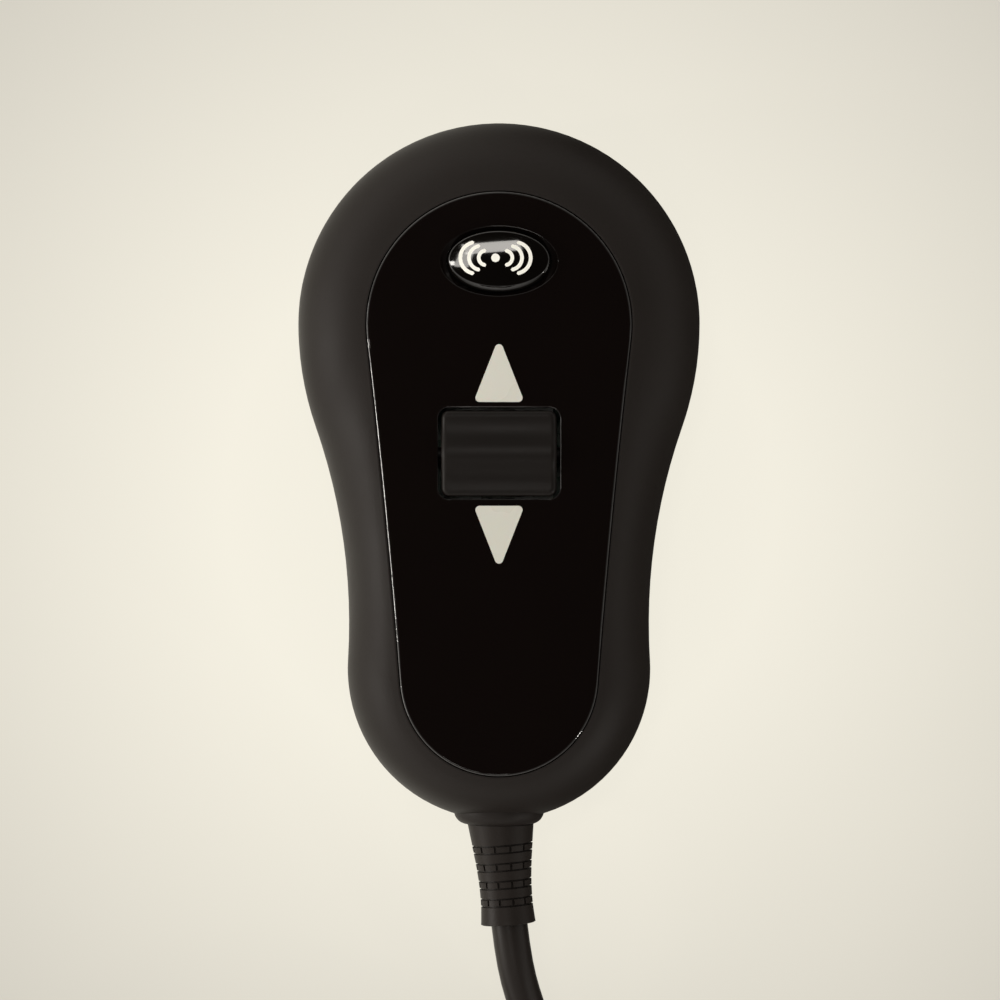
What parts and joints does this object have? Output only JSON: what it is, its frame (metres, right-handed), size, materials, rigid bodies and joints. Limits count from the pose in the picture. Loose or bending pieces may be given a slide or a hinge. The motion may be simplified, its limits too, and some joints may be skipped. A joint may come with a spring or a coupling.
{
  "type": "recliner hand control",
  "caption": "Keyhole-shaped wired hand control for a powered recliner, with an oval push button, a rocker between arrow windows, and a cord with a round plug.",
  "frame": {"origin": "middle of the housing's flat back, on the surface it lies on", "axes": "+X right as seen on the face, +Y from the cord end to the round end, +Z out of the face"},
  "size_m": [0.0912, 0.2424, 0.0272],
  "materials": {
    "shell": "fine soft-touch black, satin",
    "gloss_face": "polished black",
    "gloss_button": "polished black with a pale printed symbol",
    "rocker": "satin black",
    "window": "milky translucent",
    "screw": "zinc plated",
    "board": "green solder mask",
    "silicone": "translucent grey silicone",
    "led": "white with a yellow lens",
    "dark_part": "black moulded",
    "can": "plain can",
    "connector": "natural nylon",
    "wire": "insulated core",
    "boot": "matt black moulded",
    "cord": "satin black jacket",
    "plug_metal": "nickel plated"
  },
  "bodies": {
    "housing": {"rear_shell": "shell", "front_shell": "shell", "faceplate": "gloss_face", "up_arrow_window": "window", "down_arrow_window": "window", "case_screws": "screw", "circuit_board": "board", "board_screws": "screw", "keypad_mat": "silicone", "up_led": "led", "down_led": "led", "control_chip": "dark_part", "capacitor": "can", "board_connector": "connector", "wire_housing": "connector", "lead_wire_1": "wire", "lead_wire_2": "wire", "lead_wire_3": "wire", "lead_wire_4": "wire", "lead_wire_5": "wire", "cord_clamp": "dark_part", "clamp_screws": "screw", "cord_boot": "boot", "cord": "cord", "cord_coil": "cord", "cord_tail": "cord", "plug_grip": "boot", "plug_shell": "plug_metal", "plug_insert": "dark_part", "plug_pins": "plug_metal"},
    "rocker": {"rocker": "rocker"},
    "massage_button": {"massage_button": "gloss_button"}
  },
  "joints": [
    {"name": "rocker_tilt", "type": "hinge", "parent": "housing", "child": "rocker", "pos_m": [0, 0.0031, 0.0215], "axis": [1, 0, 0], "range_deg": [-5, 5], "stiffness_Nm_per_rad": 0.1, "deforming": ["keypad_mat"]},
    {"name": "button_press", "type": "slide", "parent": "housing", "child": "massage_button", "axis": [0, 0, -1], "range_m": [0, 0.001], "stiffness_N_per_m": 2000, "deforming": ["keypad_mat"]}
  ]
}
